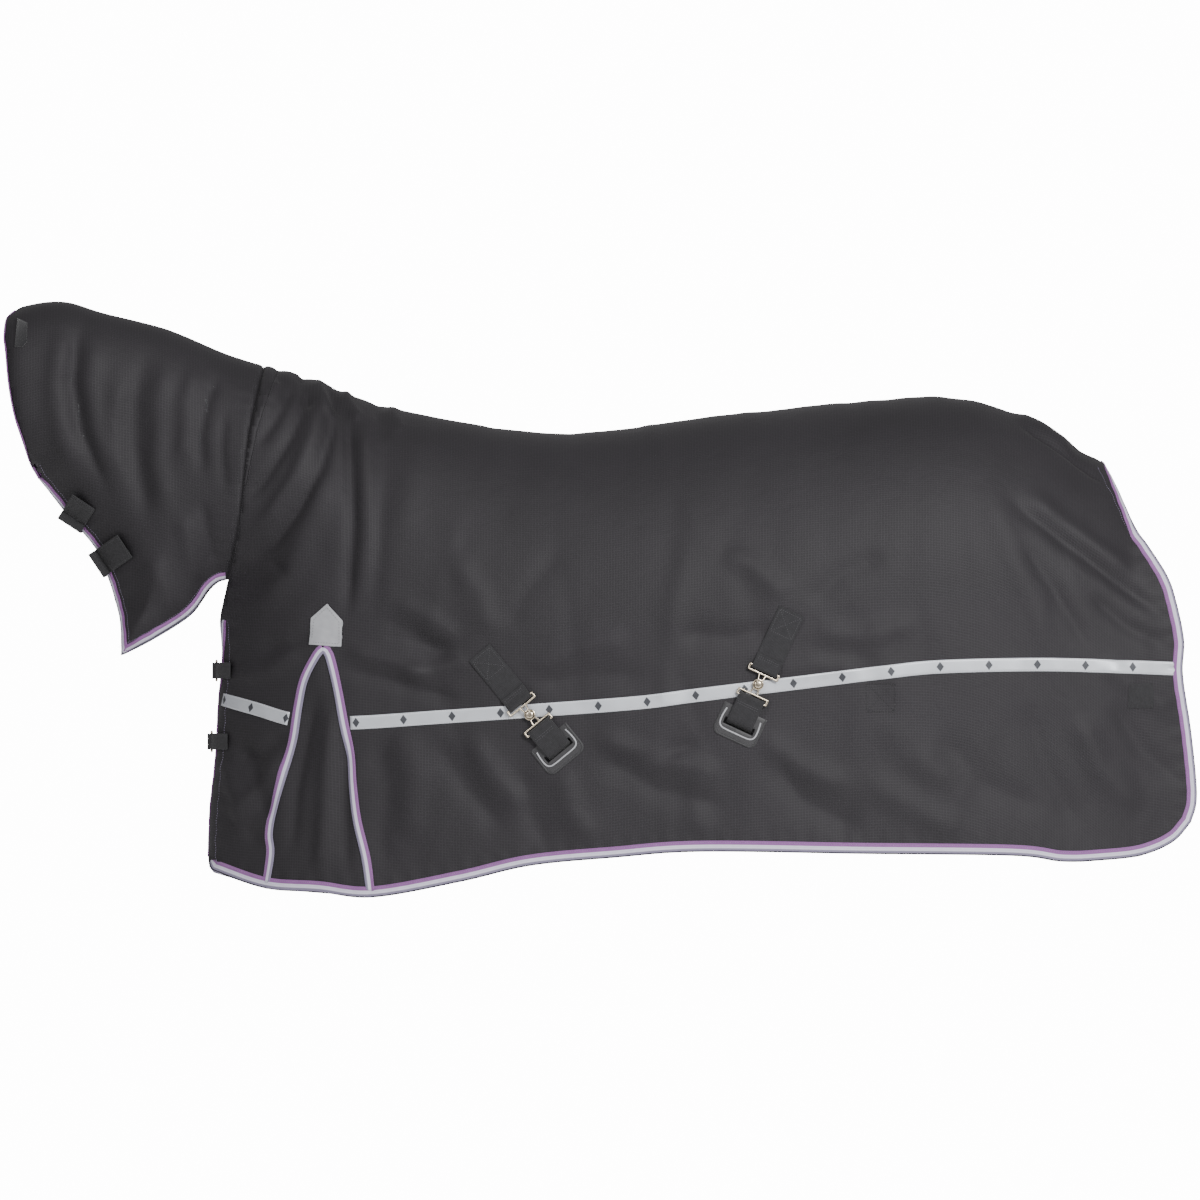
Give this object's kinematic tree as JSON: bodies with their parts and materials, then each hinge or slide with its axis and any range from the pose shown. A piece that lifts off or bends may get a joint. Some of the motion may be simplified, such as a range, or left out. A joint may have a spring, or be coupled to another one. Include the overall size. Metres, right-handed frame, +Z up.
{
  "type": "turnout rug",
  "caption": "Waterproof horse turnout rug with fixed full neck, shoulder gussets, chest buckles, crossed surcingles, tail flap, leg rings and bound edges.",
  "frame": {"origin": "where the lining rests on the lowest point of the horse's back, in the middle plane", "axes": "+X towards the tail, +Z up, the horse's left side faces -Y"},
  "size_m": [2.214, 0.6743, 1.1037],
  "materials": {
    "ripstop": "coated woven nylon, faint satin",
    "wadding": "soft polyester wadding",
    "taffeta": "shiny nylon taffeta",
    "braid": "striped ribbed braid in purple, white and grey",
    "reflective": "retroreflective tape, satin",
    "grey_patch": "matte coated patch",
    "rubber_patch": "matte moulded rubber",
    "webbing": "ribbed black webbing",
    "nickel": "warm champagne nickel plate"
  },
  "bodies": {
    "rug": {"front_surcingle_tab": "webbing", "front_slot_patch": "rubber_patch", "front_belly_strap": "webbing", "rear_surcingle_tab": "webbing", "rear_slot_patch": "rubber_patch", "rear_belly_strap": "webbing", "body_outer_left": "ripstop", "body_outer_right": "ripstop", "body_fill_left": "wadding", "body_fill_right": "wadding", "body_lining_left": "taffeta", "body_lining_right": "taffeta", "neck_outer_left": "ripstop", "neck_outer_right": "ripstop", "neck_lining_left": "taffeta", "neck_lining_right": "taffeta", "shoulder_gusset_left": "ripstop", "shoulder_gusset_right": "ripstop", "body_binding_left": "braid", "body_binding_right": "braid", "neck_binding_left": "braid", "neck_binding_right": "braid", "gusset_binding_left": "braid", "gusset_binding_right": "braid", "gusset_patch_left": "grey_patch", "gusset_patch_right": "grey_patch", "reflective_tape_front_left": "reflective", "reflective_tape_front_right": "reflective", "reflective_tape_main_left": "reflective", "reflective_tape_main_right": "reflective", "neck_seam_strip_left": "ripstop", "neck_seam_strip_right": "ripstop", "poll_pad_left": "webbing", "poll_pad_right": "webbing", "flank_ring_tab_left": "webbing", "flank_ring_tab_right": "webbing", "rear_ring_tab_left": "webbing", "rear_ring_tab_right": "webbing", "upper_chest_chape": "webbing", "upper_chest_billet": "webbing", "upper_throat_pad": "webbing", "lower_chest_chape": "webbing", "lower_chest_billet": "webbing", "lower_throat_pad": "webbing"},
    "front_clip_upper": {"front_clip_upper": "nickel"},
    "front_clip_lower": {"front_clip_lower": "nickel"},
    "rear_clip_upper": {"rear_clip_upper": "nickel"},
    "rear_clip_lower": {"rear_clip_lower": "nickel"},
    "upper_chest_buckle": {"upper_chest_buckle": "nickel"},
    "upper_buckle_tongue": {"upper_buckle_tongue": "nickel"},
    "lower_chest_buckle": {"lower_chest_buckle": "nickel"},
    "lower_buckle_tongue": {"lower_buckle_tongue": "nickel"},
    "upper_throat_tab": {"upper_throat_tab": "webbing"},
    "lower_throat_tab": {"lower_throat_tab": "webbing"},
    "tail_flap": {"tail_flap": "ripstop"},
    "flank_leg_ring_left": {"flank_leg_ring_left": "nickel"},
    "flank_leg_ring_right": {"flank_leg_ring_right": "nickel"},
    "rear_leg_ring_left": {"rear_leg_ring_left": "nickel"},
    "rear_leg_ring_right": {"rear_leg_ring_right": "nickel"}
  },
  "joints": [
    {"name": "front_clip_upper_hinge", "type": "hinge", "parent": "rug", "child": "front_clip_upper", "pos_m": [-0.07442, -0.32137, -0.49013], "axis": [-0.7683, 0.0852, -0.6344], "range_deg": [0, 100]},
    {"name": "front_clip_lower_hinge", "type": "hinge", "parent": "rug", "child": "front_clip_lower", "pos_m": [-0.03723, -0.32555, -0.53574], "axis": [-0.7683, 0.0852, -0.6344], "range_deg": [0, 5]},
    {"name": "rear_clip_upper_hinge", "type": "hinge", "parent": "rug", "child": "rear_clip_upper", "pos_m": [0.37834, -0.33597, -0.4301], "axis": [-0.9073, -0.0167, 0.4201], "range_deg": [0, 100]},
    {"name": "rear_clip_lower_hinge", "type": "hinge", "parent": "rug", "child": "rear_clip_lower", "pos_m": [0.35356, -0.33646, -0.48365], "axis": [-0.9073, -0.0167, 0.4201], "range_deg": [0, 5]},
    {"name": "upper_buckle_hinge", "type": "hinge", "parent": "rug", "child": "upper_chest_buckle", "pos_m": [-0.63975, -0.016, -0.4323], "axis": [0, 0, 1], "range_deg": [0, 15]},
    {"name": "upper_tongue_hinge", "type": "hinge", "parent": "upper_chest_buckle", "child": "upper_buckle_tongue", "pos_m": [-0.63975, -0.016, -0.4323], "axis": [0, 0, 1], "range_deg": [0, 35]},
    {"name": "lower_buckle_hinge", "type": "hinge", "parent": "rug", "child": "lower_chest_buckle", "pos_m": [-0.64872, -0.016, -0.5643], "axis": [0, 0, 1], "range_deg": [0, 15]},
    {"name": "lower_tongue_hinge", "type": "hinge", "parent": "lower_chest_buckle", "child": "lower_buckle_tongue", "pos_m": [-0.64872, -0.016, -0.5643], "axis": [0, 0, 1], "range_deg": [0, 35]},
    {"name": "upper_throat_tab_fold", "type": "hinge", "parent": "rug", "child": "upper_throat_tab", "pos_m": [-0.90909, 0.06146, -0.15598], "axis": [0.8378, 0, -0.5459], "range_deg": [0, 100]},
    {"name": "lower_throat_tab_fold", "type": "hinge", "parent": "rug", "child": "lower_throat_tab", "pos_m": [-0.85666, 0.06975, -0.23341], "axis": [0.5549, 0, -0.8319], "range_deg": [0, 100]},
    {"name": "tail_flap_swing", "type": "hinge", "parent": "rug", "child": "tail_flap", "pos_m": [0.984, 0, -0.0953], "axis": [0, -1, 0], "range_deg": [0, 70]},
    {"name": "flank_leg_ring_left_hinge", "type": "hinge", "parent": "rug", "child": "flank_leg_ring_left", "pos_m": [0.5912, -0.29807, -0.48132], "axis": [0.9953, 0.0967, -0.0002], "range_deg": [0, 80]},
    {"name": "flank_leg_ring_right_hinge", "type": "hinge", "parent": "rug", "child": "flank_leg_ring_right", "pos_m": [0.5912, 0.29807, -0.48132], "axis": [-0.9953, 0.0967, 0.0002], "range_deg": [0, 80]},
    {"name": "rear_leg_ring_left_hinge", "type": "hinge", "parent": "rug", "child": "rear_leg_ring_left", "pos_m": [1.0721, -0.21491, -0.47831], "axis": [0.9707, 0.2401, -0.0004], "range_deg": [0, 80]},
    {"name": "rear_leg_ring_right_hinge", "type": "hinge", "parent": "rug", "child": "rear_leg_ring_right", "pos_m": [1.0721, 0.21491, -0.47831], "axis": [-0.9707, 0.2401, 0.0004], "range_deg": [0, 80]}
  ]
}
